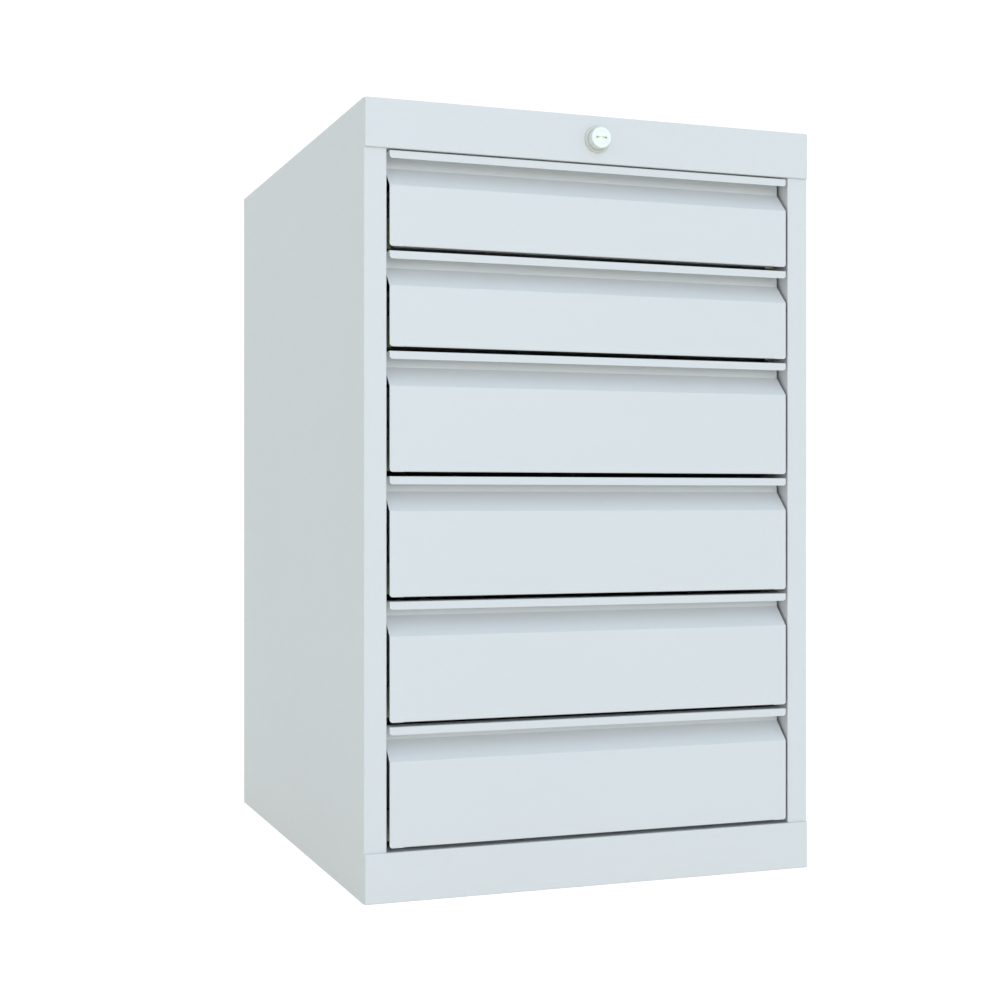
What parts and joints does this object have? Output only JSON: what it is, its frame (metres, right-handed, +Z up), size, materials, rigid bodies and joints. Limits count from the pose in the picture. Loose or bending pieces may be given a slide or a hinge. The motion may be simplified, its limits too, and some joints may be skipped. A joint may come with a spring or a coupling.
{
  "type": "flat file cabinet",
  "caption": "Free-standing steel cabinet with shallow full-width drawers for flat sheets, folded grips, ball-bearing slides and a push-button central lock.",
  "frame": {"origin": "middle of the footprint at floor level: half-way between the sides, and half-way between the front of the lock and the back sheet", "axes": "+X to the right seen from the front, +Y from the front of the cabinet to its back, +Z up; the drawers open along -Y"},
  "size_m": [0.5, 0.6158, 0.8],
  "materials": {
    "powder_coat": "light grey powder coat, satin, with a fine orange peel",
    "zinc_plate": "zinc plate, yellow-green passivated",
    "lock_nickel": "satin nickel plate",
    "lock_core": "nickel plate, worn to brass in the keyway"
  },
  "bodies": {
    "cabinet": {"left_side_panel": "powder_coat", "right_side_panel": "powder_coat", "top_panel": "powder_coat", "base_panel": "powder_coat", "back_panel": "powder_coat", "cabinet_rail_left_1": "zinc_plate", "cabinet_rail_right_1": "zinc_plate", "cabinet_rail_left_2": "zinc_plate", "cabinet_rail_right_2": "zinc_plate", "cabinet_rail_left_3": "zinc_plate", "cabinet_rail_right_3": "zinc_plate", "cabinet_rail_left_4": "zinc_plate", "cabinet_rail_right_4": "zinc_plate", "cabinet_rail_left_5": "zinc_plate", "cabinet_rail_right_5": "zinc_plate", "cabinet_rail_left_6": "zinc_plate", "cabinet_rail_right_6": "zinc_plate", "lock_housing": "lock_nickel", "crank_bracket": "zinc_plate"},
    "drawer_1": {"drawer_front_1": "powder_coat", "drawer_tray_1": "powder_coat", "drawer_rail_left_1": "zinc_plate", "drawer_rail_right_1": "zinc_plate"},
    "middle_rails_1": {"middle_rail_left_1": "zinc_plate", "middle_rail_right_1": "zinc_plate"},
    "drawer_2": {"drawer_front_2": "powder_coat", "drawer_tray_2": "powder_coat", "drawer_rail_left_2": "zinc_plate", "drawer_rail_right_2": "zinc_plate"},
    "middle_rails_2": {"middle_rail_left_2": "zinc_plate", "middle_rail_right_2": "zinc_plate"},
    "drawer_3": {"drawer_front_3": "powder_coat", "drawer_tray_3": "powder_coat", "drawer_rail_left_3": "zinc_plate", "drawer_rail_right_3": "zinc_plate"},
    "middle_rails_3": {"middle_rail_left_3": "zinc_plate", "middle_rail_right_3": "zinc_plate"},
    "drawer_4": {"drawer_front_4": "powder_coat", "drawer_tray_4": "powder_coat", "drawer_rail_left_4": "zinc_plate", "drawer_rail_right_4": "zinc_plate"},
    "middle_rails_4": {"middle_rail_left_4": "zinc_plate", "middle_rail_right_4": "zinc_plate"},
    "drawer_5": {"drawer_front_5": "powder_coat", "drawer_tray_5": "powder_coat", "drawer_rail_left_5": "zinc_plate", "drawer_rail_right_5": "zinc_plate"},
    "middle_rails_5": {"middle_rail_left_5": "zinc_plate", "middle_rail_right_5": "zinc_plate"},
    "drawer_6": {"drawer_front_6": "powder_coat", "drawer_tray_6": "powder_coat", "drawer_rail_left_6": "zinc_plate", "drawer_rail_right_6": "zinc_plate"},
    "middle_rails_6": {"middle_rail_left_6": "zinc_plate", "middle_rail_right_6": "zinc_plate"},
    "plunger": {"lock_plunger": "lock_nickel", "push_rod": "zinc_plate"},
    "key_plug": {"key_plug": "lock_core"},
    "crank": {"bell_crank": "zinc_plate"},
    "locking_bar": {"locking_bar": "zinc_plate"}
  },
  "joints": [
    {"name": "drawer_1_slide", "type": "slide", "parent": "cabinet", "child": "drawer_1", "axis": [0, -1, 0], "range_m": [0, 0.5]},
    {"name": "middle_rails_1_slide", "type": "slide", "parent": "cabinet", "child": "middle_rails_1", "axis": [0, -1, 0], "range_m": [0, 0.25]},
    {"name": "drawer_2_slide", "type": "slide", "parent": "cabinet", "child": "drawer_2", "axis": [0, -1, 0], "range_m": [0, 0.5]},
    {"name": "middle_rails_2_slide", "type": "slide", "parent": "cabinet", "child": "middle_rails_2", "axis": [0, -1, 0], "range_m": [0, 0.25]},
    {"name": "drawer_3_slide", "type": "slide", "parent": "cabinet", "child": "drawer_3", "axis": [0, -1, 0], "range_m": [0, 0.5]},
    {"name": "middle_rails_3_slide", "type": "slide", "parent": "cabinet", "child": "middle_rails_3", "axis": [0, -1, 0], "range_m": [0, 0.25]},
    {"name": "drawer_4_slide", "type": "slide", "parent": "cabinet", "child": "drawer_4", "axis": [0, -1, 0], "range_m": [0, 0.5]},
    {"name": "middle_rails_4_slide", "type": "slide", "parent": "cabinet", "child": "middle_rails_4", "axis": [0, -1, 0], "range_m": [0, 0.25]},
    {"name": "drawer_5_slide", "type": "slide", "parent": "cabinet", "child": "drawer_5", "axis": [0, -1, 0], "range_m": [0, 0.5]},
    {"name": "middle_rails_5_slide", "type": "slide", "parent": "cabinet", "child": "middle_rails_5", "axis": [0, -1, 0], "range_m": [0, 0.25]},
    {"name": "drawer_6_slide", "type": "slide", "parent": "cabinet", "child": "drawer_6", "axis": [0, -1, 0], "range_m": [0, 0.5]},
    {"name": "middle_rails_6_slide", "type": "slide", "parent": "cabinet", "child": "middle_rails_6", "axis": [0, -1, 0], "range_m": [0, 0.25]},
    {"name": "locking_bar_lift", "type": "slide", "parent": "cabinet", "child": "locking_bar", "axis": [0, 0, 1], "range_m": [0, 0.008]},
    {"name": "plunger_push", "type": "slide", "parent": "cabinet", "child": "plunger", "axis": [0, 1, 0], "range_m": [0, 0.008], "stiffness_N_per_m": 400},
    {"name": "crank_turn", "type": "hinge", "parent": "cabinet", "child": "crank", "pos_m": [0, 0.27835, 0.781], "axis": [1, 0, 0], "range_deg": [0, 18.34]},
    {"name": "key_turn", "type": "hinge", "parent": "plunger", "child": "key_plug", "pos_m": [0, -0.2959, 0.7755], "axis": [0, 1, 0], "range_deg": [0, 90]}
  ],
  "couplings": [
    {"joint": "middle_rails_1_slide", "follows": "drawer_1_slide", "ratio": 0.5},
    {"joint": "middle_rails_2_slide", "follows": "drawer_2_slide", "ratio": 0.5},
    {"joint": "middle_rails_3_slide", "follows": "drawer_3_slide", "ratio": 0.5},
    {"joint": "middle_rails_4_slide", "follows": "drawer_4_slide", "ratio": 0.5},
    {"joint": "middle_rails_5_slide", "follows": "drawer_5_slide", "ratio": 0.5},
    {"joint": "middle_rails_6_slide", "follows": "drawer_6_slide", "ratio": 0.5},
    {"joint": "plunger_push", "follows": "locking_bar_lift", "ratio": 1},
    {"joint": "crank_turn", "follows": "locking_bar_lift", "rad_per_m": 40}
  ]
}
